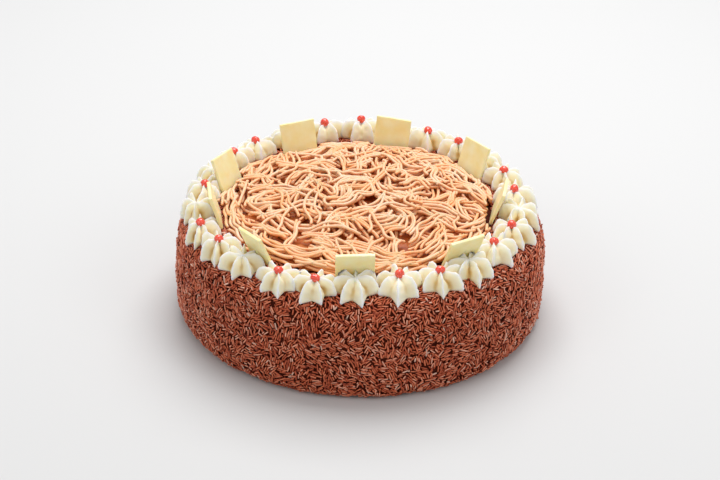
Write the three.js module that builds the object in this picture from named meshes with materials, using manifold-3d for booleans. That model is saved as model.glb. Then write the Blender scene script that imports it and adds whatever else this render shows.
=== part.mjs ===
// Chestnut vermicelli cake: a round cake coated in chocolate strands, with a nest of
// chestnut puree strands on top, inside a ring of piped cream rosettes that carry
// square white chocolate plaques and red jelly dots.
// Millimetres, +Z up, origin at the middle of the base. The front of the cake is -Y.

import * as THREE from "three";
import { mergeVertices } from "three/addons/utils/BufferGeometryUtils.js";
import Module from "manifold-3d";

const wasm = await Module();
wasm.setup();

// ---- driving dimensions ----

// cake body
const bodyRadius = 110; // widest, a third of the way up
const bodyHeight = 62; // flat top
const baseRadius = 104; // the wall curves in at its foot
const flatTopRadius = 97; // the rim is rounded from here out
const bodyFacets = 60;
const wallUnevenness = 0.5;

// chocolate strands pressed into the wall
const sprinkleCount = 72;
const sprinkleLength = 5;
const sprinkleRadius = 0.65;
const sprinkleLowest = 6;
const sprinkleHighest = 48;

// chestnut nest
const nestRadius = 82;
const nestEdgeThickness = 1.8;
const nestCentreThickness = 7;
const nestFacets = 28;
const nestLumps = 0.9;
const strandCount = 16;
const strandRadius = 1.15;
const strandSides = 4;
const strandSteps = 14;
const strandTurns = 8; // control points on a strand
const strandStride = 13; // distance between them
const strandReach = 82.3; // farthest a strand lies from the nest's centre
const strandSunk = 0.4; // height of its middle above the core where it rests
const strandArch = 1.5; // and at most between those places
const strandWander = 0.35; // random change of heading at each control point, radians
const strandReturn = 0.7; // share of its heading that turns back inwards near the edge

// piped rosettes
const rosetteCount = 26;
const plainRosettes = [0, 3, 6, 9, 12, 15, 18, 20, 23]; // one behind each plaque, without a dot
const ringRadius = 95;
const ringShift = new THREE.Vector2(-2.5, 3); // the ring and the nest sit a little off the centre
const rosetteHeight = 11.4; // of the lobes' crests above the flat top
const rosetteOutward = 15; // reach towards the rim
const rosetteInward = 10; // reach towards the nest
const rosetteSideways = 14; // pressed flat where neighbours meet
const ringTilt = 0.8; // the rosettes at the back stand this much taller, those in front less
const rosetteFarthest = 110.3; // no lobe hangs out past this radius
const rosetteLobes = 7;
const crestDip = 3; // fall of a crease between two crests
const hollowDepth = 2.8; // of the hollow that a dot sits in, below the crests
const skirtHeight = 2.4; // of the lobes' ends above the flat top
const skirtDroop = 0.42; // fall of the lobes' ends for each millimetre past the flat top
// rosettes that stand off the even ring: degrees round it, millimetres outwards and upwards
const rosetteNudges = {
  1: [1, -1, 0],
  2: [1, 2.5, 0],
  7: [-1.5, -1, 0],
  13: [-1, 1, 1.5],
  14: [-1, 1.5, 0],
  16: [1.5, -2, 0],
  17: [0, -2, 0],
  19: [0.5, -3.5, 0],
  21: [1.5, 2, 0],
  22: [1.5, 0, 0],
  24: [2, 3, -1.2],
  25: [1, 2.5, -0.6],
};

// white chocolate plaques
const plaqueWidth = 22.4;
const plaqueHeight = 21.5;
const plaqueThickness = 2;
const plaqueFoot = bodyHeight + 0.4;
// angle round the cake, foot radius, lean outwards, turn and roll, as each one stands
const plaqueStands = [
  { angle: -92, foot: 81.5, lean: 20, turn: 6, roll: 1 },
  { angle: -48, foot: 81.5, lean: 25, turn: -10.5, roll: 0 },
  { angle: -4.5, foot: 76.5, lean: 20, turn: -4.5, roll: 0 },
  { angle: 35, foot: 79, lean: 20, turn: 2, roll: -0.5 },
  { angle: 77, foot: 78, lean: 8, turn: 4, roll: 5 },
  { angle: 119, foot: 78, lean: 12, turn: -11.5, roll: -4 },
  { angle: 163, foot: 80.5, lean: 22, turn: -9, roll: 3.5 },
  { angle: 191.5, foot: 82.5, lean: 17, turn: -3.5, roll: 0 },
  { angle: 230.5, foot: 84, lean: 22, turn: -13, roll: 5 },
];
const nestCutBack = 12; // the nest stops at a plaque, and nothing of it lies this far behind one

// red jelly dots
const dotRadius = 2.8;
const dotFlattening = 0.75;

const clearance = 0.3; // left between pieces that touch

// ---- materials, from the real finishes ----

const chocolateStrands = new THREE.MeshStandardMaterial({ color: 0x7c4238, roughness: 0.6, metalness: 0 });
const chestnutPuree = new THREE.MeshStandardMaterial({ color: 0xe0ab82, roughness: 0.55, metalness: 0 });
const whippedCream = new THREE.MeshStandardMaterial({ color: 0xf3edd9, roughness: 0.5, metalness: 0 });
const whiteChocolate = new THREE.MeshStandardMaterial({ color: 0xe9d9a0, roughness: 0.4, metalness: 0 });
const redJelly = new THREE.MeshStandardMaterial({ color: 0xf0563f, roughness: 0.15, metalness: 0 });

// ---- helpers ----

const radians = THREE.MathUtils.degToRad;
const goldenAngle = Math.PI * (3 - Math.sqrt(5)); // spreads things evenly, with no rows

// a small seeded generator, so that every build is the same
function seededRandom(seed) {
  let state = seed;
  return (low, high) => {
    state = (state * 1664525 + 1013904223) % 4294967296;
    return low + (high - low) * (state / 4294967296);
  };
}

function positionsOnly(geometry) {
  geometry.deleteAttribute("normal");
  geometry.deleteAttribute("uv");
  return geometry;
}

function toSolid(geometry) {
  const merged = mergeVertices(positionsOnly(geometry), 1e-4);
  return new wasm.Manifold(
    new wasm.Mesh({
      numProp: 3,
      vertProperties: new Float32Array(merged.attributes.position.array),
      triVerts: new Uint32Array(merged.index.array),
    }),
  );
}

// what is left of a piece that was cut, without the crumbs that the cut left loose
function largestOf(solid) {
  const parts = solid.decompose();
  return parts.reduce((best, part) => (part.volume() > best.volume() ? part : best));
}

function toGeometry(solid) {
  const mesh = solid.getMesh();
  const geometry = new THREE.BufferGeometry();
  geometry.setAttribute("position", new THREE.BufferAttribute(mesh.vertProperties, 3));
  geometry.setIndex(new THREE.BufferAttribute(mesh.triVerts, 1));
  geometry.computeVertexNormals();
  return geometry;
}

// closed surface from rings of equal length, bottom ring first, capped at both ends
function ringsToGeometry(rings) {
  const count = rings[0].length;
  const vertices = rings.flat();
  const faces = [];
  for (let level = 0; level + 1 < rings.length; level++) {
    for (let i = 0; i < count; i++) {
      const a = level * count + i;
      const b = level * count + ((i + 1) % count);
      faces.push(a, b, b + count, a, b + count, a + count);
    }
  }
  const addCap = (ring, start, upward) => {
    const centre = ring.reduce((sum, p) => sum.add(p), new THREE.Vector3()).divideScalar(count);
    const middle = vertices.push(centre) - 1;
    for (let i = 0; i < count; i++) {
      const a = start + i;
      const b = start + ((i + 1) % count);
      faces.push(...(upward ? [a, b, middle] : [b, a, middle]));
    }
  };
  addCap(rings[0], 0, false);
  addCap(rings[rings.length - 1], (rings.length - 1) * count, true);
  const geometry = new THREE.BufferGeometry().setFromPoints(vertices);
  geometry.setIndex(faces);
  return geometry;
}

// ---- cake body ----

// outline of the coated wall and rounded rim, from the base up
const wallOutline = [
  [baseRadius, 0],
  [bodyRadius - 1.6, 4],
  [bodyRadius - 0.4, 12],
  [bodyRadius, 24],
  [bodyRadius - 0.6, 40],
  [bodyRadius - 2.2, 51],
  [bodyRadius - 4.5, 57],
  [bodyRadius - 8, 60.4],
  [flatTopRadius, bodyHeight],
];

function wallRadiusAt(height) {
  const above = wallOutline.findIndex(([, z]) => z >= height);
  const [r1, z1] = wallOutline[above];
  const [r0, z0] = wallOutline[above - 1];
  return r0 + ((r1 - r0) * (height - z0)) / (z1 - z0);
}

function bodyLathe() {
  const outline = wallOutline.map(([r, z]) => new THREE.Vector2(r, z));
  const profile = [new THREE.Vector2(0, 0), ...outline, new THREE.Vector2(0, bodyHeight)];
  return new THREE.LatheGeometry(profile, bodyFacets).rotateX(Math.PI / 2);
}

function buildCakeBody() {
  const random = seededRandom(11);
  const shell = mergeVertices(positionsOnly(bodyLathe()), 1e-4);
  const points = shell.attributes.position;
  for (let i = 0; i < points.count; i++) {
    const onWall = points.getZ(i) > 1 && points.getZ(i) < sprinkleHighest + 2;
    const dent = onWall ? 1 - random(0, wallUnevenness) / bodyRadius : 1;
    points.setX(i, points.getX(i) * dent);
    points.setY(i, points.getY(i) * dent);
  }
  const strands = [];
  const heightStep = 0.7549; // out of step with the golden angle, so that no rows form
  for (let i = 0; i < sprinkleCount; i++) {
    const spread = (i * heightStep + random(0, 0.1)) % 1;
    const height = sprinkleLowest + (sprinkleHighest - sprinkleLowest) * spread;
    const around = i * goldenAngle;
    const length = sprinkleLength * random(0.75, 1);
    const rod = new THREE.CylinderGeometry(sprinkleRadius, sprinkleRadius, length, 5);
    rod.rotateX(random(0, Math.PI)); // any direction in the plane of the wall
    rod.translate(wallRadiusAt(height) - wallUnevenness / 2, 0, 0);
    rod.rotateZ(around);
    rod.translate(0, 0, height);
    strands.push(toSolid(rod));
  }
  return wasm.Manifold.union([toSolid(shell), ...strands]);
}

// ---- white chocolate plaques ----

// height of a plaque's lowest corner when it is turned about the middle of its foot
function lowestCorner(lean, roll) {
  const slab = new THREE.BoxGeometry(plaqueThickness, plaqueWidth, plaqueHeight);
  slab.translate(plaqueThickness / 2, 0, plaqueHeight / 2);
  slab.rotateX(radians(roll));
  slab.rotateY(radians(lean));
  slab.computeBoundingBox();
  return slab.boundingBox.min.z;
}

// grown is the room kept round a plaque where cream or puree is cut back for it, and
// behind is how much farther outwards that room goes
function plaqueGeometry({ angle, foot, lean, turn, roll }, grown, behind) {
  const slab = new THREE.BoxGeometry(
    plaqueThickness + 2 * grown + behind,
    plaqueWidth + 2 * grown,
    plaqueHeight + 2 * grown,
  );
  slab.translate((plaqueThickness + behind) / 2, 0, plaqueHeight / 2);
  slab.rotateX(radians(roll));
  slab.rotateY(radians(lean));
  slab.rotateZ(radians(turn));
  slab.translate(foot, 0, plaqueFoot - lowestCorner(lean, roll));
  slab.rotateZ(radians(angle));
  return slab;
}

// ---- piped cream rosettes ----

// place of each rosette round the ring, and whether it carries a jelly dot
function rosettePlaces() {
  const random = seededRandom(5);
  const places = [];
  for (let k = 0; k < rosetteCount; k++) {
    const even = -90 + (k * 360) / rosetteCount;
    const x = ringRadius * Math.cos(radians(even)) + ringShift.x;
    const y = ringRadius * Math.sin(radians(even)) + ringShift.y;
    const [turned, outwards, upwards] = rosetteNudges[k] ?? [0, 0, 0];
    places.push({
      angle: Math.atan2(y, x) + radians(turned),
      radius: Math.hypot(x, y) + outwards + random(-0.8, 0.8),
      height: rosetteHeight + upwards + ringTilt * Math.sin(radians(even)) + random(-0.6, 0.6),
      twist: random(-0.3, 0.3),
      dotted: !plainRosettes.includes(k),
    });
  }
  return places;
}

const places = rosettePlaces();

// lobed dome that leans over the rim, kept inside the wedge between its neighbours
function rosetteGeometry(index) {
  const place = places[index];
  const before = places[(index + rosetteCount - 1) % rosetteCount].angle;
  const after = places[(index + 1) % rosetteCount].angle;
  const wrap = (a) => Math.atan2(Math.sin(a), Math.cos(a));
  const leftRoom = wrap(after - place.angle) / 2;
  const rightRoom = wrap(place.angle - before) / 2;
  const samples = rosetteLobes * 2;
  const footHeight = bodyHeight + clearance;
  const shoulder = bodyHeight + 0.6 * place.height;
  const skirtAt = (radius) => bodyHeight + skirtHeight - skirtDroop * Math.max(radius - flatTopRadius, 0);
  const peak = bodyHeight + place.height;
  // share of the full reach, depth of the creases, farthest radius, height and its dip, level by level
  const levels = [
    { reach: 0.76, crease: 0.1, farthest: flatTopRadius, heightAt: () => footHeight, dip: 0 },
    { reach: 1, crease: 0.2, farthest: rosetteFarthest, heightAt: skirtAt, dip: 0 },
    { reach: 0.85, crease: 0.32, farthest: rosetteFarthest, heightAt: () => shoulder, dip: 0 },
    { reach: 0.48, crease: 0.25, farthest: rosetteFarthest, heightAt: () => peak, dip: crestDip },
    { reach: 0.2, crease: 0, farthest: rosetteFarthest, heightAt: () => peak - hollowDepth, dip: 0.3 },
  ];
  const rings = levels.map(({ reach, crease, farthest, heightAt, dip }) => {
    const ring = [];
    for (let i = 0; i < samples; i++) {
      const around = place.twist + (i * 2 * Math.PI) / samples;
      const creased = i % 2 === 1;
      const share = reach * (creased ? 1 - crease : 1);
      const length = Math.cos(around) > 0 ? rosetteOutward : rosetteInward;
      const x = place.radius + Math.cos(around) * length * share;
      const across = Math.sin(around) * rosetteSideways * share;
      const radius = Math.min(Math.hypot(x, across), farthest);
      const margin = (clearance * 0.6) / radius;
      const turn = THREE.MathUtils.clamp(Math.atan2(across, x), margin - rightRoom, leftRoom - margin);
      const angle = place.angle + turn;
      const height = heightAt(radius) - (creased ? dip : 0);
      ring.push(new THREE.Vector3(radius * Math.cos(angle), radius * Math.sin(angle), height));
    }
    return ring;
  });
  return ringsToGeometry(rings);
}

// ---- chestnut nest ----

function nestTopAt(radius) {
  const share = Math.min(radius / nestRadius, 1);
  const thickness = nestEdgeThickness + (nestCentreThickness - nestEdgeThickness) * (1 - share * share);
  return bodyHeight + clearance + thickness;
}

function nestCore() {
  const random = seededRandom(23);
  const shares = [0.98, 1, 0.82, 0.62, 0.4, 0.18];
  const rings = shares.map((share, level) => {
    const ring = [];
    for (let i = 0; i < nestFacets; i++) {
      const around = (i * 2 * Math.PI) / nestFacets;
      const radius = nestRadius * share * (1 - (level < 2 ? 0.02 * Math.sin(3 * around + 1) + 0.02 : 0));
      const lump = level < 2 ? 0 : random(-nestLumps, nestLumps);
      const height = level === 0 ? bodyHeight + clearance : nestTopAt(radius) + lump;
      ring.push(new THREE.Vector3(radius * Math.cos(around), radius * Math.sin(around), height));
    }
    return ring;
  });
  return toSolid(ringsToGeometry(rings));
}

// one strand wandering over the nest in slow loops
function nestStrand(index) {
  const random = seededRandom(100 + index * 17);
  const startAngle = index * goldenAngle;
  const startRadius = nestRadius * Math.sqrt((index + 0.5) / strandCount);
  const place = new THREE.Vector2(startRadius * Math.cos(startAngle), startRadius * Math.sin(startAngle));
  let heading = startAngle + Math.PI / 2 + random(-0.5, 0.5);
  const bend = random(-0.5, 0.5);
  const points = [];
  for (let i = 0; i < strandTurns; i++) {
    const radius = Math.min(place.length(), strandReach);
    place.setLength(Math.max(radius, 0.1));
    const rise = i % 2 === 0 ? strandSunk : random(1.5 * strandSunk, strandArch);
    points.push(new THREE.Vector3(place.x, place.y, nestTopAt(radius) + rise));
    const inward = Math.atan2(-place.y, -place.x);
    const off = Math.atan2(Math.sin(inward - heading), Math.cos(inward - heading));
    const nearEdge = radius > 0.8 * nestRadius;
    heading += bend + random(-strandWander, strandWander) + (nearEdge ? strandReturn * off : 0);
    place.x += strandStride * Math.cos(heading);
    place.y += strandStride * Math.sin(heading);
  }
  const corners = Array.from({ length: strandSides }, (_, i) => {
    const around = ((i + 0.5) * 2 * Math.PI) / strandSides;
    return new THREE.Vector2(strandRadius * Math.cos(around), strandRadius * Math.sin(around));
  });
  return toSolid(
    new THREE.ExtrudeGeometry(new THREE.Shape(corners), {
      steps: strandSteps,
      bevelEnabled: false,
      extrudePath: new THREE.CatmullRomCurve3(points),
    }),
  );
}

function buildNest() {
  const strands = Array.from({ length: strandCount }, (_, index) => nestStrand(index));
  let nest = wasm.Manifold.union([nestCore(), ...strands]).translate([ringShift.x, ringShift.y, 0]);
  for (const stand of plaqueStands) {
    nest = nest.subtract(toSolid(plaqueGeometry(stand, clearance, nestCutBack)));
  }
  return largestOf(nest);
}

// ---- red jelly dots ----

function dotGeometry(place) {
  const dot = new THREE.SphereGeometry(dotRadius, 7, 4);
  dot.rotateX(Math.PI / 2);
  dot.scale(1, 1, dotFlattening);
  const rest = bodyHeight + place.height - hollowDepth + clearance + dotRadius * dotFlattening;
  dot.translate(place.radius * Math.cos(place.angle), place.radius * Math.sin(place.angle), rest);
  return dot;
}

// ---- the whole cake ----

const cake = new THREE.Group();

function addPiece(name, geometry, material) {
  const mesh = new THREE.Mesh(geometry, material);
  mesh.name = name;
  cake.add(mesh);
}

const numbered = (name, index) => `${name}_${String(index + 1).padStart(2, "0")}`;

addPiece("cake_body", toGeometry(buildCakeBody()), chocolateStrands);
addPiece("chestnut_nest", toGeometry(buildNest()), chestnutPuree);

const plaqueRooms = plaqueStands.map((stand) => toSolid(plaqueGeometry(stand, clearance, 0)));
places.forEach((place, index) => {
  let rosette = toSolid(rosetteGeometry(index));
  for (const room of plaqueRooms) {
    rosette = rosette.subtract(room);
  }
  addPiece(numbered("rosette", index), toGeometry(largestOf(rosette)), whippedCream);
});

plaqueStands.forEach((stand, index) => {
  addPiece(numbered("plaque", index), plaqueGeometry(stand, 0, 0), whiteChocolate);
});

places
  .filter((place) => place.dotted)
  .forEach((place, index) => {
    addPiece(numbered("jelly_dot", index), dotGeometry(place), redJelly);
  });

export default cake;
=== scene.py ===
import math

import bmesh
import bpy
import numpy
from mathutils import Matrix, Vector, kdtree, noise


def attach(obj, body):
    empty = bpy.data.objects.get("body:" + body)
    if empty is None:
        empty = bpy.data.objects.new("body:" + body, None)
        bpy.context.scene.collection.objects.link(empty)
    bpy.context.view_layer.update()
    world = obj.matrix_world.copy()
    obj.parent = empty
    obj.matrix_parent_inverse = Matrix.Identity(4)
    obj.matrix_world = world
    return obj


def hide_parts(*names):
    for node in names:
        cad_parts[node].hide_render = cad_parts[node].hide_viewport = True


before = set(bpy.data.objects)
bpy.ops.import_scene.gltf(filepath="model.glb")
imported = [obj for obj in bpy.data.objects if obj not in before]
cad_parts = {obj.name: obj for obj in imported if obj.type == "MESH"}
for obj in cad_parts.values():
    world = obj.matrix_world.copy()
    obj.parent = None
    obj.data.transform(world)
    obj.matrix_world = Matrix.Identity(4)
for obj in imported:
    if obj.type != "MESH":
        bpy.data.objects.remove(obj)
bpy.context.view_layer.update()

# Lengths are in millimetres until a mesh is made, and then in metres.
mm = 0.001
print("frame loaded")


def seededRandom(seed):
    state = seed

    def draw(low, high):
        nonlocal state
        state = (state * 1664525 + 1013904223) % 4294967296
        return low + (high - low) * (state / 4294967296)

    return draw


def linearColour(hexCode):
    channels = [int(hexCode[i:i + 2], 16) / 255 for i in (0, 2, 4)]
    return [c / 12.92 if c <= 0.04045 else ((c + 0.055) / 1.055) ** 2.4 for c in channels] + [1.0]


def addNode(tree, kind, settings, links):
    node = tree.nodes.new(kind)
    for name, value in settings.items():
        if isinstance(name, int) or name in node.inputs:
            node.inputs[name].default_value = value
        else:
            setattr(node, name, value)
    for name, socket in links.items():
        tree.links.new(socket, node.inputs[name])
    return node


def startMaterial(name, settings):
    material = bpy.data.materials.new(name)
    material.use_nodes = True
    tree = material.node_tree
    tree.nodes.clear()
    surface = addNode(tree, "ShaderNodeBsdfPrincipled", settings, {})
    addNode(tree, "ShaderNodeOutputMaterial", {}, {"Surface": surface.outputs["BSDF"]})
    place = addNode(tree, "ShaderNodeTexCoord", {}, {}).outputs["Object"]
    return material, tree, surface, place


def fillRamp(ramp, stops):
    # the ramp starts with two stops, and the rest are added between them
    elements = ramp.color_ramp.elements
    while len(elements) < len(stops):
        elements.new(0.5)
    for element, (position, hexCode) in zip(elements, stops):
        element.position = position
        element.color = linearColour(hexCode)


def dressPiece(name, mesh, material, slot, *nodes):
    mesh.shade_smooth()
    mesh.materials.append(material)
    piece = bpy.data.objects.new(name, mesh)
    bpy.context.collection.objects.link(piece)
    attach(piece, "root")
    if nodes:
        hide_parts(*nodes)
    return piece


def meshFromBmesh(name, bm):
    mesh = bpy.data.meshes.new(name)
    bmesh.ops.scale(bm, vec=(mm, mm, mm), verts=bm.verts)
    bm.to_mesh(mesh)
    bm.free()
    return mesh


def meshFromArrays(name, points, faces, shade):
    mesh = bpy.data.meshes.new(name)
    mesh.from_pydata((points * mm).tolist(), [], faces)
    mesh.attributes.new("shade", "FLOAT", "POINT").data.foreach_set("value", shade.astype(numpy.float32))
    return mesh


# The camera looks down at the cake from about a metre away, a little rolled.
view = {
    "heightAngle": 29.5,
    "roll": 0.93,
    "distance": 1100,
    "aim": (-0.25, 0, 41.7),
    "lens": 92,
}


def makeCamera():
    height = math.radians(view["heightAngle"])
    roll = math.radians(view["roll"])
    back = Vector((0, -math.cos(height), math.sin(height)))
    side = Vector((1, 0, 0))
    up = back.cross(side)
    right = math.cos(roll) * side + math.sin(roll) * up
    top = math.cos(roll) * up - math.sin(roll) * side
    data = bpy.data.cameras.new("camera")
    data.lens = view["lens"]
    data.sensor_width = 36
    data.clip_start = 0.05
    data.clip_end = 20
    camera = bpy.data.objects.new("camera", data)
    place = (Vector(view["aim"]) + back * view["distance"]) * mm
    camera.matrix_world = Matrix.Translation(place) @ Matrix((right, top, back)).transposed().to_4x4()
    bpy.context.collection.objects.link(camera)
    bpy.context.scene.camera = camera


makeCamera()

studio = {
    "floorSize": 3.2,
    "floorColour": "D6D6D6",
    "skyColour": "FFFFFF",
    "skyStrength": 0.52,
    # name, power, size, place and aim, in metres
    "softboxes": [
        ("topSoftbox", 13.6, 0.9, (0.08, 0.46, 1.15), (0, 0, 0.05)),
        ("leftFill", 2.7, 0.7, (-1.1, -0.8, 1.1), (0, 0, 0.04)),
        ("rightFill", 3.0, 0.7, (1.1, -0.8, 1.1), (0, 0, 0.04)),
    ],
}


def makeStudio():
    bm = bmesh.new()
    bmesh.ops.create_grid(bm, x_segments=1, y_segments=1, size=studio["floorSize"] / 2 / mm)
    bmesh.ops.translate(bm, vec=(0, 0, -0.1), verts=bm.verts)
    floor = bpy.data.objects.new("floor", meshFromBmesh("floor", bm))
    bpy.context.collection.objects.link(floor)
    # matt white card
    card, tree, surface, place = startMaterial("mattCard", {
        "Base Color": linearColour(studio["floorColour"]), "Roughness": 0.85, "Specular IOR Level": 0.2})
    floor.data.materials.append(card)

    world = bpy.data.worlds.new("studio")
    world.use_nodes = True
    sky = world.node_tree.nodes["Background"]
    sky.inputs["Color"].default_value = linearColour(studio["skyColour"])
    sky.inputs["Strength"].default_value = studio["skyStrength"]
    bpy.context.scene.world = world
    bpy.context.scene.view_settings.view_transform = "Standard"

    for name, power, size, place, aim in studio["softboxes"]:
        light = bpy.data.lights.new(name, "AREA")
        light.energy = power
        light.size = size
        lamp = bpy.data.objects.new(name, light)
        lamp.location = place
        lamp.rotation_euler = (Vector(aim) - Vector(place)).to_track_quat("-Z", "Y").to_euler()
        bpy.context.collection.objects.link(lamp)


makeStudio()
print("studio made")

body = {
    "height": 62,
    # radius and height, from the foot up over the rim
    "outline": [(104, 0), (108.4, 4), (109.6, 12), (110, 24), (109.4, 40), (107.8, 51), (105.5, 57), (102, 60.4),
                (97, 62), (70, 62)],
    "coatDepth": 0.95,
    "facets": 200,
    "lump": 0.8,
    "lumpSize": 8.0,
    "rows": 90,
}
outlineRadii = numpy.array([r for r, z in body["outline"]], float)
outlineHeights = numpy.array([z for r, z in body["outline"]], float)
outlineLengths = numpy.concatenate(([0], numpy.cumsum(numpy.hypot(numpy.diff(outlineRadii), numpy.diff(outlineHeights)))))


def outlineAt(length):
    # a softened point of the outline and its outward normal, as radius and height
    reach = 1.6
    r = sum(numpy.interp(length + d, outlineLengths, outlineRadii) for d in (-reach, 0, reach)) / 3
    z = sum(numpy.interp(length + d, outlineLengths, outlineHeights) for d in (-reach, 0, reach)) / 3
    along = 1.5
    dr = numpy.interp(length + along, outlineLengths, outlineRadii) - numpy.interp(length - along, outlineLengths, outlineRadii)
    dz = numpy.interp(length + along, outlineLengths, outlineHeights) - numpy.interp(length - along, outlineLengths, outlineHeights)
    size = numpy.hypot(dr, dz)
    return r, z, dr / size, dz / size


def topDrop(radius):
    # how far the cake's surface has fallen from its flat top at a radius
    return float(numpy.interp(radius, [96, 99, 102, 105.5, 107.8], [0, 0.6, 1.6, 5, 9]))


def lumpAt(point):
    # the coat was pressed on by hand, so it is a little uneven
    return noise.noise(Vector(point) / body["lumpSize"]) * body["lump"]


def makeChocolateCoat():
    # chocolate buttercream, spread by hand and hidden by the strands but for the gaps between them
    coat, tree, surface, place = startMaterial("spreadChocolateCream", {"Roughness": 0.8, "Specular IOR Level": 0.1})
    patches = addNode(tree, "ShaderNodeTexNoise", {"Scale": 260.0, "Detail": 3.0}, {"Vector": place})
    ramp = addNode(tree, "ShaderNodeValToRGB", {}, {"Fac": patches.outputs["Fac"]})
    fillRamp(ramp, [(0.3, "3A1109"), (0.7, "562011")])
    tree.links.new(ramp.outputs["Color"], surface.inputs["Base Color"])
    grain = addNode(tree, "ShaderNodeTexNoise", {"Scale": 900.0, "Detail": 2.0}, {"Vector": place})
    bump = addNode(tree, "ShaderNodeBump", {"Strength": 0.5, "Distance": 0.0004}, {"Height": grain.outputs["Fac"]})
    tree.links.new(bump.outputs["Normal"], surface.inputs["Normal"])

    bm = bmesh.new()
    depth = body["coatDepth"]
    lengths = numpy.linspace(1.2, outlineLengths[-1] - 4, body["rows"])
    r, z, dr, dz = outlineAt(lengths)
    rows = [(0, 0.2), (60, 0.2), (102.4, 0.2)] + list(zip(r - dz * depth, z + dr * depth)) + [(40, z[-1] - depth), (0, z[-1] - depth)]
    line = [bm.verts.new((row[0], 0, row[1])) for row in rows]
    edges = [bm.edges.new(pair) for pair in zip(line[:-1], line[1:])]
    bmesh.ops.spin(bm, geom=line + edges, cent=(0, 0, 0), axis=(0, 0, 1), angle=2 * math.pi, steps=body["facets"],
                   use_merge=True)
    bmesh.ops.remove_doubles(bm, verts=bm.verts, dist=0.01)
    bmesh.ops.recalc_face_normals(bm, faces=bm.faces)
    bm.normal_update()
    for vertex in bm.verts:
        if vertex.co.z > 1:
            vertex.co += vertex.normal * lumpAt(vertex.co)
    dressPiece("chocolateCoat", meshFromBmesh("chocolateCoat", bm), coat, "chocolate_strands", "cake_body")


makeChocolateCoat()
print("chocolate coat made")

chocolateStrands = {
    "radius": 0.45,
    "sides": 5,
    "wallRadius": 108,
    "wallLength": 88,
    "cell": 0.3,
    # the rods that show lie side by side in small groups, each group turned its own way
    "groupArea": 18,
    "groupReach": 6,
    "pitch": 1.22,
    "endGap": 0.3,
    "turnJitter": 10,
    # layer name, rods thrown, shortest and longest, how much of a rod may lie on others of its layer,
    # lowest and highest lift off the coat, usual tilt in degrees, lowest and highest shade; the inner layer's darker
    # shades are painted shade on the rods that lie low in the gaps
    "layers": [("chocolateStrandsInner", 8000, 2.5, 4.5, 1.0, 0.05, 0.3, 4, 0.05, 0.35),
               ("chocolateStrandsMiddle", 0, 1.8, 4.2, 0.2, 0.45, 1.1, 7, 0.3, 0.7),
               ("chocolateStrandsOuter", 40000, 1.1, 3.4, 0.12, 0.6, 1.45, 14, 0.3, 0.8)],
    # how strongly each rod gets a painted highlight along its outer ridge and painted shade on its sides
    "paintedRodShading": 0.34,
    "glintAndBloomShare": 0.012,
}


def onWall(around, along):
    # a place on the unrolled wall, as a point of a round wall
    radius = chocolateStrands["wallRadius"]
    return Vector((radius * math.cos(around / radius), radius * math.sin(around / radius), along))


def groupedRods(generator, shortest, longest):
    wallRound = 2 * math.pi * chocolateStrands["wallRadius"]
    wallLength = chocolateStrands["wallLength"]
    reach = chocolateStrands["groupReach"]
    count = int(wallRound * wallLength / chocolateStrands["groupArea"])
    middles = numpy.column_stack((generator.uniform(0, wallRound, count), generator.uniform(0, wallLength, count)))
    tree = kdtree.KDTree(count)
    for k, middle in enumerate(middles):
        tree.insert(onWall(*middle), k)
    tree.balance()
    rods = []
    for k, middle in enumerate(middles):
        heading = generator.uniform(0, math.pi)
        ahead = numpy.array((math.cos(heading), math.sin(heading)))
        side = numpy.array((-ahead[1], ahead[0]))
        for row in numpy.arange(-reach, reach, chocolateStrands["pitch"]):
            place = -reach - generator.uniform(0, longest)
            while place < reach:
                length = generator.uniform(shortest, longest)
                around, along = middle + side * (row + generator.normal(0, 0.1)) + ahead * (place + length / 2)
                place += length + chocolateStrands["endGap"]
                turn = heading + math.radians(generator.normal(0, chocolateStrands["turnJitter"]))
                if 0.3 < along < wallLength and tree.find(onWall(around, along))[1] == k:
                    rods.append((around % wallRound, along, turn, length))
    return rods


def thrownRods(generator, count, shortest, longest):
    wallRound = 2 * math.pi * chocolateStrands["wallRadius"]
    # the long ones are thrown first, and the short ones fill the gaps
    lengths = numpy.sort(generator.uniform(shortest, longest, count))[::-1]
    return numpy.column_stack((generator.uniform(0, wallRound, count),
                               generator.uniform(0.3, chocolateStrands["wallLength"], count),
                               generator.uniform(0, math.pi, count), lengths))


def keepClear(rods, taken, crowding):
    # keeps each rod that lies clear of those before it
    cell = chocolateStrands["cell"]
    kept = []
    for around, along, turn, length in rods:
        reach = numpy.arange(-length / 2, length / 2 + cell, cell)
        rows, columns = [], []
        for shift in (-cell, 0, cell):
            rows.append((around + reach * math.cos(turn) - shift * math.sin(turn)) / cell)
            columns.append((along + reach * math.sin(turn) + shift * math.cos(turn)) / cell)
        rows = numpy.concatenate(rows).astype(int) % len(taken)
        columns = numpy.clip(numpy.concatenate(columns).astype(int), 0, taken.shape[1] - 1)
        if taken[rows, columns].mean() <= crowding:
            taken[rows, columns] = True
            kept.append((around, along, turn, length))
    return numpy.array(kept).T


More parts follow.
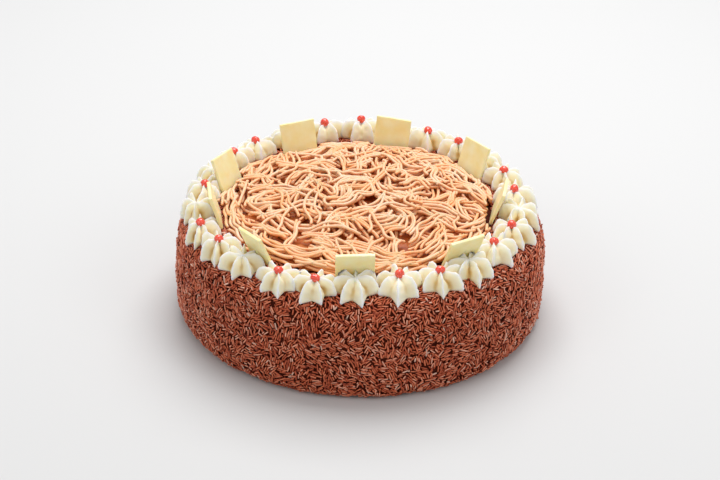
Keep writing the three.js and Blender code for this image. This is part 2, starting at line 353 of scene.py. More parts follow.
def rodMesh(name, centres, directions, normals, lengths, radii, shades):
    sides = chocolateStrands["sides"]
    up = normals - directions * (normals * directions).sum(1)[:, None]
    up /= numpy.linalg.norm(up, axis=1)[:, None]
    across = numpy.cross(directions, up)
    count = len(centres)
    points = numpy.empty((count, 2 * sides, 3))
    half = (lengths / 2)[:, None]
    for k in range(sides):
        angle = 2 * math.pi * k / sides
        ring = (math.cos(angle) * up + math.sin(angle) * across) * radii[:, None]
        points[:, k] = centres + ring - directions * half
        points[:, sides + k] = centres + ring + directions * half
    points[:, :, 2] = numpy.maximum(points[:, :, 2], 0.05)
    faces = []
    for base in range(0, count * 2 * sides, 2 * sides):
        start = list(range(base, base + sides))
        end = list(range(base + sides, base + 2 * sides))
        faces += [(start[k - 1], start[k], end[k], end[k - 1]) for k in range(sides)]
        faces += [start[::-1], end]
    # painted highlight along the ridge that faces out, and painted shade on the sides where a rod is pressed to its
    # neighbours
    paintedRodShading = chocolateStrands["paintedRodShading"] * numpy.cos(2 * math.pi * numpy.arange(2 * sides) / sides)
    shade = (shades[:, None] + paintedRodShading[None, :]).reshape(-1)
    return meshFromArrays(name, points.reshape(-1, 3), faces, shade)


def makeChocolateStrands():
    # milk chocolate vermicelli: short extruded rods with a satin skin, each a little lighter or darker
    strand, tree, surface, place = startMaterial("chocolateVermicelli", {
        "Roughness": 0.3, "Specular IOR Level": 0.4})
    shade = addNode(tree, "ShaderNodeAttribute", {"attribute_name": "shade"}, {})
    ramp = addNode(tree, "ShaderNodeValToRGB", {}, {"Fac": shade.outputs["Fac"]})
    # the ramp also turns each rod's painted ridge highlight and painted side shade into colour
    fillRamp(ramp, [(0.0, "3E0F05"), (0.35, "903218"), (0.6, "C85C38"), (0.85, "E7835B"), (1.0, "F0C4AE")])
    tree.links.new(ramp.outputs["Color"], surface.inputs["Base Color"])
    grain = addNode(tree, "ShaderNodeTexNoise", {"Scale": 2200.0, "Detail": 2.0}, {"Vector": place})
    bump = addNode(tree, "ShaderNodeBump", {"Strength": 0.35, "Distance": 0.0001}, {"Height": grain.outputs["Fac"]})
    tree.links.new(bump.outputs["Normal"], surface.inputs["Normal"])

    generator = numpy.random.default_rng(11)
    cell = chocolateStrands["cell"]
    wallRound = 2 * math.pi * chocolateStrands["wallRadius"]
    taken = numpy.zeros((int(wallRound / cell) + 1, int(chocolateStrands["wallLength"] / cell) + 20), bool)
    for layer in chocolateStrands["layers"]:
        name, thrown, shortest, longest, crowding, lowest, highest, tilt, darkest, palest = layer
        if thrown:
            rods = thrownRods(generator, thrown, shortest, longest)
        else:
            rods = groupedRods(generator, shortest, longest)
        around, along, turn, lengths = keepClear(rods, taken, crowding)
        if crowding == 1:
            taken[:] = False
        count = len(along)
        angle = around / chocolateStrands["wallRadius"]
        r, z, dr, dz = outlineAt(along)
        across = numpy.stack((-numpy.sin(angle), numpy.cos(angle), numpy.zeros(count)), 1)
        climb = numpy.stack((numpy.cos(angle) * dr, numpy.sin(angle) * dr, dz), 1)
        outward = numpy.stack((numpy.cos(angle) * dz, numpy.sin(angle) * dz, -dr), 1)
        lean = numpy.radians(generator.normal(0, tilt, count))
        flat = across * numpy.cos(turn)[:, None] + climb * numpy.sin(turn)[:, None]
        directions = flat * numpy.cos(lean)[:, None] + outward * numpy.sin(lean)[:, None]
        centres = numpy.stack((numpy.cos(angle) * r, numpy.sin(angle) * r, z), 1)
        lumps = numpy.array([lumpAt(centre) for centre in centres])
        lift = generator.uniform(lowest, highest, count) - body["coatDepth"] + lumps
        centres += outward * lift[:, None]
        radii = chocolateStrands["radius"] * generator.uniform(0.9, 1.08, count)
        shades = generator.uniform(darkest, palest, count)
        # a few rods are painted pale: partly bloom on the chocolate, partly painted glints
        shades[generator.uniform(0, 1, count) < chocolateStrands["glintAndBloomShare"]] = 1.1
        mesh = rodMesh(name, centres, directions, outward, lengths, radii, shades)
        dressPiece(name, mesh, strand, "chocolate_strands", "cake_body")
        print(name, count, "strands", sum(len(p.vertices) - 2 for p in mesh.polygons), "triangles")


makeChocolateStrands()

nest = {
    "centre": (-2.5, 3.0),
    "reach": 83,
    # the strands stop short of the cream at the back: middle angle, half width in degrees, gap
    "backGap": (113, 34, 5.8),
    "step": 1.4,
    "strandRadius": 0.97,
    "sides": 6,
    "cell": 0.7,
    "centreThickness": 8.6,
    # kind of lay: how many, strands in each, lengths, tightest bend, how far a bend goes on, highest arch
    "lays": [
        ("rim", 34, (1, 3), (30, 70), 24, (10, 30), 0.4),
        ("bed", 130, (2, 4), (30, 70), 12, (14, 34), 0.5),
        ("fillers", 44, (2, 3), (10, 24), 5, (6, 14), 0.2),
        ("ropes", 90, (2, 3), (25, 70), 10, (12, 30), 1.0),
        ("sheaves", 90, (1, 3), (24, 60), 8, (8, 22), 1.5),
        ("curls", 110, (1, 3), (16, 44), 3.4, (4, 12), 1.3),
    ],
    # a strand is left out where the heap is full, and sinks in where it is a little over
    "mostOver": 1.7,
    "sinking": 0.5,
    "pitch": 1.98,
    "mostSwing": 2.4,
    "waves": (0.2, 0.9),
    # painted highlight on the strands' tops and painted shade on strands that lie low in the heap
    "paintedTopLight": 0.17,
    "paintedDepthShade": 0.035,
}
# angle, foot radius, lean, turn and roll of each plaque, as in the solids
plaque = {
    "width": 22.4,
    "height": 21.5,
    "thickness": 2,
    "foot": 62.4,
    "stands": [(-92, 81.5, 20, 6, 1), (-48, 81.5, 25, -10.5, 0), (-4.5, 76.5, 20, -4.5, 0), (35, 79, 20, 2, -0.5),
               (77, 78, 8, 4, 5), (119, 78, 12, -11.5, -4), (163, 80.5, 22, -9, 3.5), (191.5, 82.5, 17, -3.5, 0),
               (230.5, 84, 22, -13, 5)],
}
# each finished strand: its points, radius and shade
nestStrands = []
nestSize = 92
nestGrid = numpy.zeros((int(2 * nestSize / nest["cell"]), int(2 * nestSize / nest["cell"])))


def nestReachAt(angle):
    # how far from the nest's middle a strand may go, less in front of a plaque
    cx, cy = nest["centre"]
    middle, width, gap = nest["backGap"]
    turned = (math.degrees(angle) - middle + 180) % 360 - 180
    reach = nest["reach"] - gap * max(0, 1 - (turned / width) ** 4)
    for stand in plaque["stands"]:
        facing = math.radians(stand[0])
        turn = math.radians(stand[3])
        foot = Vector((math.cos(facing), math.sin(facing))) * (stand[1] - 1.0) - Vector((cx, cy))
        normal = Vector((math.cos(facing + turn), math.sin(facing + turn)))
        ray = Vector((math.cos(angle), math.sin(angle)))
        across = ray.dot(normal)
        if across > 0.5:
            distance = foot.dot(normal) / across
            offset = (ray * distance - foot).length
            if offset < 13:
                reach = min(reach, distance)
    return reach


reachTable = numpy.array([nestReachAt(math.radians(a)) for a in range(0, 360)])


def nestBed(x, y):
    share = min(math.hypot(x - nest["centre"][0], y - nest["centre"][1]) / 82, 1)
    return 62.3 + (nest["centreThickness"] - 3.6) * (1 - share * share)


def nestTop(away):
    # how high the heap may grow, as a low dome
    return 64.8 + 8.4 * (1 - numpy.minimum(away / 82, 1) ** 2.2)


def emptiestSpot(random, looks):
    # of a few places, the one where the heap is furthest below its dome
    spots = []
    for k in range(looks):
        angle = random(0, 2 * math.pi)
        away = (nest["reach"] - 2) * math.sqrt(random(0, 1))
        x = nest["centre"][0] + away * math.cos(angle)
        y = nest["centre"][1] + away * math.sin(angle)
        i, j = int((x + nestSize) / nest["cell"]), int((y + nestSize) / nest["cell"])
        height = (nestGrid[i - 3:i + 4, j - 3:j + 4].mean() - nestBed(x, y)) / (nestTop(away) - nestBed(x, y))
        spots.append((height, x, y, angle, away))
    return min(spots)[1:]


def walkGuide(random, x, y, heading, length, bend, run, margin):
    # a line that bends one way, then the other, and turns back before it leaves the nest
    cx, cy = nest["centre"]
    step = nest["step"]
    turn = swung = 0
    wanted = random(-1, 1) * step / bend
    left = random(*run) / step
    waveHeight = random(*nest["waves"])
    swing = 2 * math.pi / random(13, 24)
    waveStart = random(0, 6.28)
    points = [(x, y)]
    for k in range(int(length / step)):
        left -= 1
        if left < 0 or abs(swung) > nest["mostSwing"]:
            wanted = -math.copysign(random(0.15, 1), wanted) * step / bend
            left = random(*run) / step
            swung = 0
        turn += (wanted - turn) * 0.4
        swung += turn
        heading += turn + waveHeight * swing * swing * step * math.sin(swing * step * k + waveStart)
        dx, dy = x - cx, y - cy
        away = math.hypot(dx, dy)
        room = reachTable[int(math.degrees(math.atan2(dy, dx))) % 360] - margin - away
        if room < 16 and away > 1:
            outward = (math.cos(heading) * dx + math.sin(heading) * dy) / away
            side = 1 if dx * math.sin(heading) - dy * math.cos(heading) > 0 else -1
            if outward > 0:
                heading += side * min(0.3, outward * (16 - room) / 16 * 0.34)
        x += math.cos(heading) * step
        y += math.sin(heading) * step
        points.append((x, y))
    return numpy.array(points)


def insideNest(points, margin):
    # the longest stretch of a strand that lies within the nest's edge
    dx = points[:, 0] - nest["centre"][0]
    dy = points[:, 1] - nest["centre"][1]
    degrees = numpy.degrees(numpy.arctan2(dy, dx)) % 360
    limit = numpy.interp(degrees, numpy.arange(361), numpy.append(reachTable, reachTable[0])) - margin
    inside = (numpy.hypot(dx, dy) < limit).astype(int)
    ends = numpy.flatnonzero(numpy.diff(numpy.concatenate(([0], inside, [0])))).reshape(-1, 2)
    return max(ends.tolist(), key=lambda pair: pair[1] - pair[0], default=(0, 0))


def smoothed(values, width):
    kernel = numpy.ones(width) / width
    padded = numpy.concatenate((numpy.full(width // 2, values[0]), values, numpy.full(width // 2, values[-1])))
    return numpy.convolve(padded, kernel, "valid")


def layStrand(points, radius, shade, lift, margin):
    # rests a strand on what already lies there, and adds it to the heap
    first, last = insideNest(points, margin)
    if last - first < 5:
        return
    points, lift = points[first:last], lift[first:last]
    cell = nest["cell"]
    rows = []
    ahead = numpy.gradient(points, axis=0)
    ahead /= numpy.maximum(numpy.linalg.norm(ahead, axis=1)[:, None], 0.001)
    side = numpy.stack((-ahead[:, 1], ahead[:, 0]), 1)
    for shift in (-0.7, 0, 0.7):
        spot = ((points + side * shift + nestSize) / cell).astype(int)
        rows.append(nestGrid[spot[:, 0], spot[:, 1]])
    under = numpy.max(rows, axis=0)
    rest = under + radius * 0.8
    wide = numpy.maximum(rest, numpy.maximum(numpy.append(rest[1:], rest[-1]), numpy.append(rest[0], rest[:-1])))
    z = numpy.maximum(smoothed(smoothed(wide, 7), 5), rest - radius * 0.6)
    away = numpy.hypot(points[:, 0] - nest["centre"][0], points[:, 1] - nest["centre"][1])
    cap = nestTop(away)
    over = numpy.maximum(z - cap, 0)
    if over.mean() > nest["mostOver"]:
        return
    z = z - over * nest["sinking"] + lift
    z = smoothed(z, 3)
    # the heap grows where the strand lies
    dense = numpy.linspace(0, len(points) - 1, len(points) * 4)
    index = numpy.arange(len(points))
    line = numpy.stack([numpy.interp(dense, index, column) for column in (points[:, 0], points[:, 1], z)], 1)
    reach = int(radius / cell) + 1
    base = ((line[:, :2] + nestSize) / cell).astype(int)
    for i in range(-reach, reach + 1):
        for j in range(-reach, reach + 1):
            cells = base + (i, j)
            centres = (cells + 0.5) * cell - nestSize
            gap = numpy.hypot(*(centres - line[:, :2]).T)
            near = gap < radius
            height = line[near, 2] + numpy.sqrt(radius ** 2 - gap[near] ** 2)
            numpy.maximum.at(nestGrid, (cells[near, 0], cells[near, 1]), height)
    nestStrands.append((numpy.column_stack((points, z)), radius, shade))


def layBundle(random, guide, count, highest, margin):
    # strands that came out of the press side by side
    ahead = numpy.gradient(guide, axis=0)
    ahead /= numpy.linalg.norm(ahead, axis=1)[:, None]
    side = numpy.stack((-ahead[:, 1], ahead[:, 0]), 1)
    index = numpy.arange(len(guide))
    tone = random(-0.07, 0.07)
    arch = random(0, highest)
    lift = arch * numpy.sin(index / random(5, 12) + random(0, 6.28)) ** 2
    extra = int(count * random(0, 0.5))
    shifts = [(k - (count - 1) / 2) * nest["pitch"] for k in range(count)]
    shifts += [(k - (extra - 1) / 2) * nest["pitch"] for k in range(extra)]
    for shift in shifts:
        wave = random(4, 9)
        start = random(0, 6.28)
        sway = random(0.4, 1.7) * numpy.sin(index / wave + start) + random(0.15, 0.45) * numpy.sin(index / 2.6 + start * 3)
        first = int(random(0, min(7, len(guide) * 0.2)))
        last = len(guide) - int(random(0, min(7, len(guide) * 0.2)))
        points = guide + side * (shift + sway)[:, None]
        layStrand(points[first:last], nest["strandRadius"] * random(0.92, 1.06), 0.5 + tone + random(-0.06, 0.06),
                  lift[first:last], margin + random(-0.8, 0.8))


def tubes(name, strands, heapTop):
    sides = nest["sides"]
    allPoints, allShades, faces = [], [], []
    base = 0
    for path, radius, shade in strands:
        ahead = numpy.gradient(path, axis=0)
        ahead /= numpy.linalg.norm(ahead, axis=1)[:, None]
        across = numpy.cross(ahead, (0, 0, 1.0))
        across /= numpy.linalg.norm(across, axis=1)[:, None]
        over = numpy.cross(across, ahead)
        # a rounded end: one smaller ring and a point beyond each end
        path = numpy.vstack((path[0] - ahead[0] * radius * 0.55, path, path[-1] + ahead[-1] * radius * 0.55))
        across = numpy.vstack((across[0], across, across[-1]))
        over = numpy.vstack((over[0], over, over[-1]))
        widths = numpy.full(len(path), radius)
        widths[0] = widths[-1] = radius * 0.62
        turns = 2 * math.pi * numpy.arange(sides) / sides
        ring = (numpy.cos(turns)[None, :, None] * across[:, None, :] + numpy.sin(turns)[None, :, None] * over[:, None, :])
        points = path[:, None, :] + ring * widths[:, None, None]
        points = points.reshape(-1, 3)
        tips = numpy.vstack((path[0] - ahead[0] * radius * 0.3, path[-1] + ahead[-1] * radius * 0.3))
        allPoints.append(numpy.vstack((points, tips)))
        # painted highlight: the tops of the strands are made paler where light falls on them, and painted shade: what
        # lies low under the heap's top is made darker
        spot = numpy.clip(((path[:, :2] + nestSize) / nest["cell"]).astype(int), 0, len(heapTop) - 1)
        buried = numpy.clip(heapTop[spot[:, 0], spot[:, 1]] - path[:, 2] - radius, -1.0, 4.0)
        shades = shade + nest["paintedTopLight"] * numpy.sin(turns)[None, :] - nest["paintedDepthShade"] * buried[:, None]
        allShades.append(numpy.append(shades.reshape(-1), (shade, shade)))
        count = len(path)
        for i in range(count - 1):
            for k in range(sides):
                a = base + i * sides + k
                b = base + i * sides + (k + 1) % sides
                faces.append((a, b, b + sides, a + sides))
        first = base + count * sides
        end = base + (count - 1) * sides
        for k in range(sides):
            after = (k + 1) % sides
            faces.append((base + after, base + k, first))
            faces.append((end + k, end + after, first + 1))
        base += count * sides + 2
    return meshFromArrays(name, numpy.vstack(allPoints), faces, numpy.concatenate(allShades))


def makeChestnutNest():
    # sweetened chestnut puree pressed through small holes: moist, smooth and a little translucent
    puree, tree, surface, place = startMaterial("pressedChestnutPuree", {
        "Roughness": 0.4, "Specular IOR Level": 0.4, "Subsurface Weight": 0.6,
        "Subsurface Radius": (1.0, 0.7, 0.5), "Subsurface Scale": 0.0007})
    shade = addNode(tree, "ShaderNodeAttribute", {"attribute_name": "shade"}, {})
    cloud = addNode(tree, "ShaderNodeTexNoise", {"Scale": 70.0, "Detail": 3.0}, {"Vector": place})
    mixed = addNode(tree, "ShaderNodeMath", {"operation": "MULTIPLY_ADD", 1: 0.6, 2: -0.3}, {0: cloud.outputs["Fac"]})
    total = addNode(tree, "ShaderNodeMath", {"operation": "ADD"}, {0: mixed.outputs[0], 1: shade.outputs["Fac"]})
    ramp = addNode(tree, "ShaderNodeValToRGB", {}, {"Fac": total.outputs[0]})
    # the ramp also turns the painted top highlight and painted depth shade into colour
    fillRamp(ramp, [(0.0, "A8521F"), (0.14, "D47C3C"), (0.3, "EFA060"), (0.55, "F6BC8A"), (0.8, "F8CFAC"), (1.0, "FAE0CA")])
    tree.links.new(ramp.outputs["Color"], surface.inputs["Base Color"])
    grain = addNode(tree, "ShaderNodeTexNoise", {"Scale": 1500.0, "Detail": 2.0}, {"Vector": place})
    bump = addNode(tree, "ShaderNodeBump", {"Strength": 0.25, "Distance": 0.00015}, {"Height": grain.outputs["Fac"]})
    tree.links.new(bump.outputs["Normal"], surface.inputs["Normal"])

    for i in range(nestGrid.shape[0]):
        for j in range(nestGrid.shape[1]):
            nestGrid[i, j] = nestBed((i + 0.5) * nest["cell"] - nestSize, (j + 0.5) * nest["cell"] - nestSize)

    random = seededRandom(29)
    counts = []
    for kind, count, width, length, bend, run, highest in nest["lays"]:
        for k in range(count):
            x, y, angle, away = emptiestSpot(random, 80 if kind == "fillers" else 30)
            heading = random(0, 6.28)
            if kind == "rim":
                angle = 2 * math.pi * (k + random(0, 1)) / count
                away = reachTable[int(math.degrees(angle)) % 360] - random(1, 9)
                x = nest["centre"][0] + away * math.cos(angle)
                y = nest["centre"][1] + away * math.sin(angle)
            if away > 55:
                heading = angle + math.pi / 2 * (1 if random(0, 1) > 0.5 else -1) + random(-0.5, 0.5)
            margin = random(0, 1.5) if kind == "rim" else random(0.5, 4)
            guide = walkGuide(random, x, y, heading, random(*length), bend, run, margin + 1)
            layBundle(random, guide, int(random(width[0], width[1] + 0.99)), highest, margin)
        counts.append(len(nestStrands))
    half = counts[1]
    # the heap's height, evened out over a few millimetres
    heapTop = nestGrid.copy()
    for shift in (1, 2, 3):
        for axis in (0, 1):
            heapTop = (heapTop + numpy.roll(heapTop, shift, axis) + numpy.roll(heapTop, -shift, axis)) / 3
    for name, strands in (("chestnutStrandsLower", nestStrands[:half]), ("chestnutStrandsUpper", nestStrands[half:])):
        mesh = tubes(name, strands, heapTop)
        print(name, len(strands), "strands", sum(len(p.vertices) - 2 for p in mesh.polygons), "triangles")
        dressPiece(name, mesh, puree, "chestnut_puree", "chestnut_nest")

    # the heap's own core, a little below the strands, painted a darker shade of the puree as shade in the holes
    # between them
    bm = bmesh.new()
    bmesh.ops.create_uvsphere(bm, u_segments=180, v_segments=60, radius=1)
    cx, cy = nest["centre"]
    for vertex in bm.verts:
        angle = math.atan2(vertex.co.y, vertex.co.x)
        away = math.hypot(vertex.co.x, vertex.co.y)
        reach = float(numpy.interp(math.degrees(angle) % 360, numpy.arange(360), reachTable)) - 4
        x, y = cx + math.cos(angle) * away * reach, cy + math.sin(angle) * away * reach
        top = nestBed(x, y) - 0.3 + 0.6 * noise.noise(Vector((x, y, 0)) / 2.5)
        vertex.co = (x, y, top if vertex.co.z > 0.01 else 62.05 if vertex.co.z < -0.01 else 62.3)
    bmesh.ops.recalc_face_normals(bm, faces=bm.faces)
    mesh = meshFromBmesh("chestnutCore", bm)
    # painted shade: the core's low value gives the dark orange of the puree in shadow
    mesh.attributes.new("shade", "FLOAT", "POINT").data.foreach_set("value", [0.08] * len(mesh.vertices))
    dressPiece("chestnutCore", mesh, puree, "chestnut_puree", "chestnut_nest")


makeChestnutNest()

rosette = {
    "count": 26,
    "plain": [0, 3, 6, 9, 12, 15, 18, 20, 23],
    "ringRadius": 95,
    "ringShift": (-2.5, 3.0),
    "height": 11.4,
    "ringTilt": 0.8,
    # rosettes that stand off the even ring: degrees round it, millimetres outwards and upwards
    "nudges": {1: (1, -1, 0), 2: (1, 2.5, 0), 7: (-1.5, -1, 0), 13: (-1, 1, 1.5), 14: (-1, 1.5, 0), 16: (1.5, -2, 0),
               17: (0, -2, 0), 19: (0.5, -3.5, 0), 21: (1.5, 2, 0), 22: (1.5, 0, 0), 24: (2, 3, -1.2),
               25: (1, 2.5, -0.6)},
    "fins": 7,
    "inward": 0.84,
    "closeness": 0.6,
    "lip": 0.3,
    "lipPower": 5,
    "uneven": 0.46,
    "ragged": 0.34,
    "columns": 14,
    "rows": 34,
    # share of the way from the middle of the top to the middle of the underside, then distance out and height
    "crest": [(0, 0, 8.4), (0.05, 1.0, 8.6), (0.10, 2.3, 9.2), (0.16, 4.0, 10.0), (0.22, 6.0, 10.7), (0.29, 8.0, 11.0),
              (0.36, 10.0, 10.8), (0.43, 11.8, 9.7), (0.50, 13.2, 7.8), (0.57, 14.1, 5.5), (0.63, 14.7, 3.3),
              (0.68, 15.0, 1.6), (0.72, 14.2, 0.2), (0.76, 12.5, 0), (0.88, 6, 0), (1, 0, 0)],
    "crease": [(0, 0, 8.4), (0.05, 0.6, 7.6), (0.10, 1.0, 6.8), (0.16, 1.5, 5.9), (0.22, 2.2, 5.3), (0.29, 3.1, 4.8),
               (0.36, 4.2, 4.5), (0.43, 5.3, 4.1), (0.50, 6.4, 3.7), (0.57, 7.5, 3.1), (0.63, 8.4, 2.4),
               (0.68, 9.0, 1.6), (0.72, 9.0, 0.5), (0.76, 8.6, 0), (0.88, 5, 0), (1, 0, 0)],
    # how far from the cake's middle the outer tips reach, and how far they hang out over the rounded rim
    "tipReach": 107.3,
    "overhang": 0.45,
}


def rosettePlaces():
    random = seededRandom(5)
    places = []
    for k in range(rosette["count"]):
        even = -math.pi / 2 + k * 2 * math.pi / rosette["count"]
        x = rosette["ringRadius"] * math.cos(even) + rosette["ringShift"][0]
        y = rosette["ringRadius"] * math.sin(even) + rosette["ringShift"][1]
        turned, outwards, upwards = rosette["nudges"].get(k, (0, 0, 0))
        radius = math.hypot(x, y) + outwards + random(-0.8, 0.8)
        height = rosette["height"] + upwards + rosette["ringTilt"] * math.sin(even) + random(-0.6, 0.6)
        twist = random(-0.3, 0.3)
        angle = math.atan2(y, x) + math.radians(turned)
        places.append({"angle": angle, "radius": radius, "height": height, "twist": twist,
                       "dotted": k not in rosette["plain"],
                       "middle": Vector((radius * math.cos(angle), radius * math.sin(angle)))})
    return places


places = rosettePlaces()


def plaqueMatrix(stand):
    # the same order of turns as in the solids: roll, lean and turn, then out to its foot and round the cake
    angle, foot, lean, turn, roll = stand
    tilt = (Matrix.Rotation(math.radians(turn), 4, "Z") @ Matrix.Rotation(math.radians(lean), 4, "Y")
            @ Matrix.Rotation(math.radians(roll), 4, "X"))
    corners = [tilt @ Vector((x, y, z)) for x in (0, plaque["thickness"])
               for y in (-plaque["width"] / 2, plaque["width"] / 2) for z in (0, plaque["height"])]
    lowest = min(corner.z for corner in corners)
    out = Matrix.Translation((foot, 0, plaque["foot"] - lowest))
    return Matrix.Rotation(math.radians(angle), 4, "Z") @ out @ tilt


plaqueMatrices = [plaqueMatrix(stand) for stand in plaque["stands"]]


def besidePlaques(point):
    # presses the cream back to the plaques that lean on it
    for matrix in plaqueMatrices:
        local = matrix.inverted() @ point
        edge = max(abs(local.y) - plaque["width"] / 2, local.z - plaque["height"], 0)
        back = plaque["thickness"] + 0.06 - edge * 1.2
        if -9 < local.x < back and edge < 2.5 and local.z > -1.5:
            local.x = back
            point = matrix @ local
    return point


def softLimit(distance, limit):
    # past the limit the cream is squashed flat against its neighbour
    return distance if distance < limit - 1 else limit - 1 / (1 + (distance - limit + 1))


def makeRosettes():
    # whipped cream: matt, warm ivory, with painted golden shade in its deepest creases and a painted highlight along
    # its crests
    cream, tree, surface, place = startMaterial("whippedCream", {
        "Roughness": 0.5, "Specular IOR Level": 0.4, "Subsurface Weight": 1.0,
        "Subsurface Radius": (1.0, 0.9, 0.7), "Subsurface Scale": 0.0028})
    shade = addNode(tree, "ShaderNodeAttribute", {"attribute_name": "shade"}, {})
    ramp = addNode(tree, "ShaderNodeValToRGB", {}, {"Fac": shade.outputs["Fac"]})
    fillRamp(ramp, [(0.0, "B88430"), (0.16, "DABA78"), (0.34, "EDE1BC"), (0.75, "F8F3E0"), (1.0, "FFFFFC")])
    tree.links.new(ramp.outputs["Color"], surface.inputs["Base Color"])
    grain = addNode(tree, "ShaderNodeTexNoise", {"Scale": 650.0, "Detail": 3.0}, {"Vector": place})
    bump = addNode(tree, "ShaderNodeBump", {"Strength": 0.3, "Distance": 0.0003}, {"Height": grain.outputs["Fac"]})
    tree.links.new(bump.outputs["Normal"], surface.inputs["Normal"])

    crest = numpy.array(rosette["crest"])
    crease = numpy.array(rosette["crease"])
    fins = rosette["fins"]
    for k, spot in enumerate(places):
        random = seededRandom(300 + k * 7)
        random(0, 1)
        finLengths = [random(0.93, 1.06) for fin in range(fins)]
        finHeights = [random(0.93, 1.06) for fin in range(fins)]
        finTurns = [random(-0.10, 0.10) for fin in range(fins)]
        depths = [random(0.72, 1.08) for fin in range(fins)]
        spiral = random(-0.10, 0.10)
        twist = spot["twist"] + random(0, 0.9)
        before = places[k - 1]
        after = places[(k + 1) % rosette["count"]]
        outward = min(1.05, (rosette["tipReach"] - spot["radius"]) / crest[:, 1].max())
        bm = bmesh.new()
        bmesh.ops.create_uvsphere(bm, u_segments=fins * rosette["columns"], v_segments=rosette["rows"], radius=1)
        shades = []
        for vertex in bm.verts:
            around = math.atan2(vertex.co.y, vertex.co.x) % (2 * math.pi)
            share = math.acos(max(-1, min(1, vertex.co.z))) / math.pi
            finShare = around / (2 * math.pi) * fins
            fin = int(finShare) % fins
            even = finShare - int(finShare)
            # the mesh is closest along the sharp crests
            across = even - rosette["closeness"] * math.sin(2 * math.pi * even) / (2 * math.pi)
            around += (across - even) * 2 * math.pi / fins
            other = (fin + 1) % fins
            depth = depths[fin]
            # flat sides rise from the crease to a thin lip along each crest
            off = abs(2 * across - 1)
            full = (1 - rosette["lip"]) * off + rosette["lip"] * off ** rosette["lipPower"]
            length = finLengths[fin] * (1 - across) + finLengths[other] * across
            height = finHeights[fin] * (1 - across) + finHeights[other] * across
            turned = finTurns[fin] * (1 - across) + finTurns[other] * across
            outCrest, upCrest = (numpy.interp(share, crest[:, 0], crest[:, c]) for c in (1, 2))
            outCrease, upCrease = (numpy.interp(share, crease[:, 0], crease[:, c]) for c in (1, 2))
            out = outCrest * length - (outCrest - outCrease) * depth * (1 - full)
            up = upCrest * height - (upCrest - upCrease) * depth * (1 - full)
            up *= spot["height"] / rosette["height"]
            angle = around + twist + turned + spiral * share * 2
            local = Vector((math.cos(angle), math.sin(angle))) * out
            local.x *= outward if local.x > 0 else rosette["inward"]
            flat = spot["middle"] + Matrix.Rotation(spot["angle"], 2) @ local
            for neighbour in (before, after):
                toward = neighbour["middle"] - spot["middle"]
                half = toward.length / 2
                toward.normalize()
                distance = (flat - spot["middle"]).dot(toward)
                flat += toward * (softLimit(distance, half + 1.6) - distance)
            reach = flat.length
            flat *= softLimit(reach, 109.3) / reach
            # the tips bridge the rounded rim, and the underside lies on it
            under = max(0, min(1, (share - 0.68) / 0.08))
            bridge = 1 - rosette["overhang"] * (1 - under)
            z = 62.05 + up - topDrop(flat.length) * bridge
            point = Vector((flat.x, flat.y, z))
            if share < 0.66:
                point += noise.noise_vector(point / 3.2) * rosette["uneven"]
                point += noise.noise_vector(point / 1.7) * rosette["ragged"] * off ** 2
            vertex.co = besidePlaques(point)
            # painted shade: the further into a crease, the darker and more golden the cream is made; the crests, left
            # at 1, take the painted highlight
            paintedCreaseShade = (outCrest - outCrease) / 6.5 * depth * (1 - full)
            shades.append(1 - min(1, paintedCreaseShade))
        bmesh.ops.recalc_face_normals(bm, faces=bm.faces)
        name = "creamRosette%02d" % (k + 1)
        mesh = meshFromBmesh(name, bm)
        mesh.attributes.new("shade", "FLOAT", "POINT").data.foreach_set("value", shades)
        dressPiece(name, mesh, cream, "whipped_cream", "rosette_%02d" % (k + 1))


makeRosettes()
print("rosettes made")


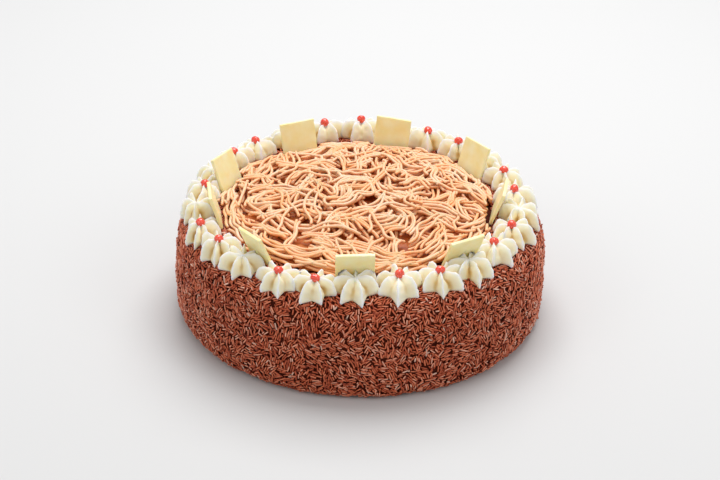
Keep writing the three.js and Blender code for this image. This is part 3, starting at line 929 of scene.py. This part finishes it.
def makePlaques():
    # white chocolate poured thin and cut: ivory yellow, satin, faintly mottled
    ivory, tree, surface, place = startMaterial("castWhiteChocolate", {
        "Roughness": 0.34, "Specular IOR Level": 0.5, "Subsurface Weight": 0.5,
        "Subsurface Radius": (1.0, 0.8, 0.4), "Subsurface Scale": 0.002})
    mottle = addNode(tree, "ShaderNodeTexNoise", {"Scale": 160.0, "Detail": 4.0}, {"Vector": place})
    ramp = addNode(tree, "ShaderNodeValToRGB", {}, {"Fac": mottle.outputs["Fac"]})
    fillRamp(ramp, [(0.3, "FAEAAA"), (0.7, "FFF5CB")])
    tree.links.new(ramp.outputs["Color"], surface.inputs["Base Color"])
    bump = addNode(tree, "ShaderNodeBump", {"Strength": 0.12, "Distance": 0.0004}, {"Height": mottle.outputs["Fac"]})
    tree.links.new(bump.outputs["Normal"], surface.inputs["Normal"])

    for k, matrix in enumerate(plaqueMatrices):
        bm = bmesh.new()
        bmesh.ops.create_cube(bm, size=1)
        bmesh.ops.scale(bm, vec=(plaque["thickness"] - 0.1, plaque["width"] - 0.2, plaque["height"] - 0.2), verts=bm.verts)
        long = [edge for edge in bm.edges if edge.calc_length() > 5]
        bmesh.ops.subdivide_edges(bm, edges=long, cuts=22, use_grid_fill=True)
        rim = [edge for edge in bm.edges if len(edge.link_faces) == 2 and edge.calc_face_angle() > 1]
        bmesh.ops.bevel(bm, geom=rim, offset=0.3, segments=2, profile=0.5, affect="EDGES", material=-1)
        bmesh.ops.translate(bm, vec=(plaque["thickness"] / 2, 0, plaque["height"] / 2), verts=bm.verts)
        for vertex in bm.verts:
            # the cut edges are a little uneven
            y, z = vertex.co.y, vertex.co.z - plaque["height"] / 2
            edge = max(abs(y) / (plaque["width"] / 2), abs(z) / (plaque["height"] / 2))
            if edge > 0.9:
                nick = 0.35 * (edge - 0.9) / 0.1
                vertex.co.y -= math.copysign(nick * (0.5 + 0.5 * noise.noise(Vector((k * 9, y, z)) * 0.6)), y)
                vertex.co.z -= math.copysign(nick * (0.5 + 0.5 * noise.noise(Vector((k * 7, z, y)) * 0.6)), z)
        bmesh.ops.transform(bm, matrix=matrix, verts=bm.verts)
        bmesh.ops.recalc_face_normals(bm, faces=bm.faces)
        name = "ivoryPlaque%02d" % (k + 1)
        dressPiece(name, meshFromBmesh(name, bm), ivory, "white_chocolate", "plaque_%02d" % (k + 1))


makePlaques()
print("plaques made")

dot = {"radius": 2.7, "flattening": 0.9, "hollow": 4.4}


def makeJellyDots():
    # set redcurrant jelly: clear skin, strong gloss, light spreading inside
    jelly, tree, surface, place = startMaterial("setRedJelly", {
        "Base Color": linearColour("F04A32"), "Roughness": 0.12, "Coat Weight": 0.8, "Coat Roughness": 0.04,
        "Subsurface Weight": 0.5, "Subsurface Radius": (1.0, 0.3, 0.2), "Subsurface Scale": 0.0012})
    cloud = addNode(tree, "ShaderNodeTexNoise", {"Scale": 500.0, "Detail": 2.0}, {"Vector": place})
    ramp = addNode(tree, "ShaderNodeValToRGB", {}, {"Fac": cloud.outputs["Fac"]})
    fillRamp(ramp, [(0.3, "E63A26"), (0.7, "F75F45")])
    tree.links.new(ramp.outputs["Color"], surface.inputs["Base Color"])
    number = 0
    for k, spot in enumerate(places):
        if not spot["dotted"]:
            continue
        number += 1
        bm = bmesh.new()
        bmesh.ops.create_icosphere(bm, subdivisions=4, radius=dot["radius"])
        for vertex in bm.verts:
            vertex.co *= 1 + 0.18 * noise.noise(vertex.co * 0.28 + Vector((k * 5.3, 0, 0)))
            vertex.co.z *= dot["flattening"]
        middle = spot["middle"]
        height = 62 + spot["height"] - dot["hollow"] + dot["radius"] * dot["flattening"]
        bmesh.ops.translate(bm, vec=(middle.x, middle.y, height), verts=bm.verts)
        name = "jellyDot%02d" % number
        dressPiece(name, meshFromBmesh(name, bm), jelly, "red_jelly", "jelly_dot_%02d" % number)


makeJellyDots()
print("dots made")
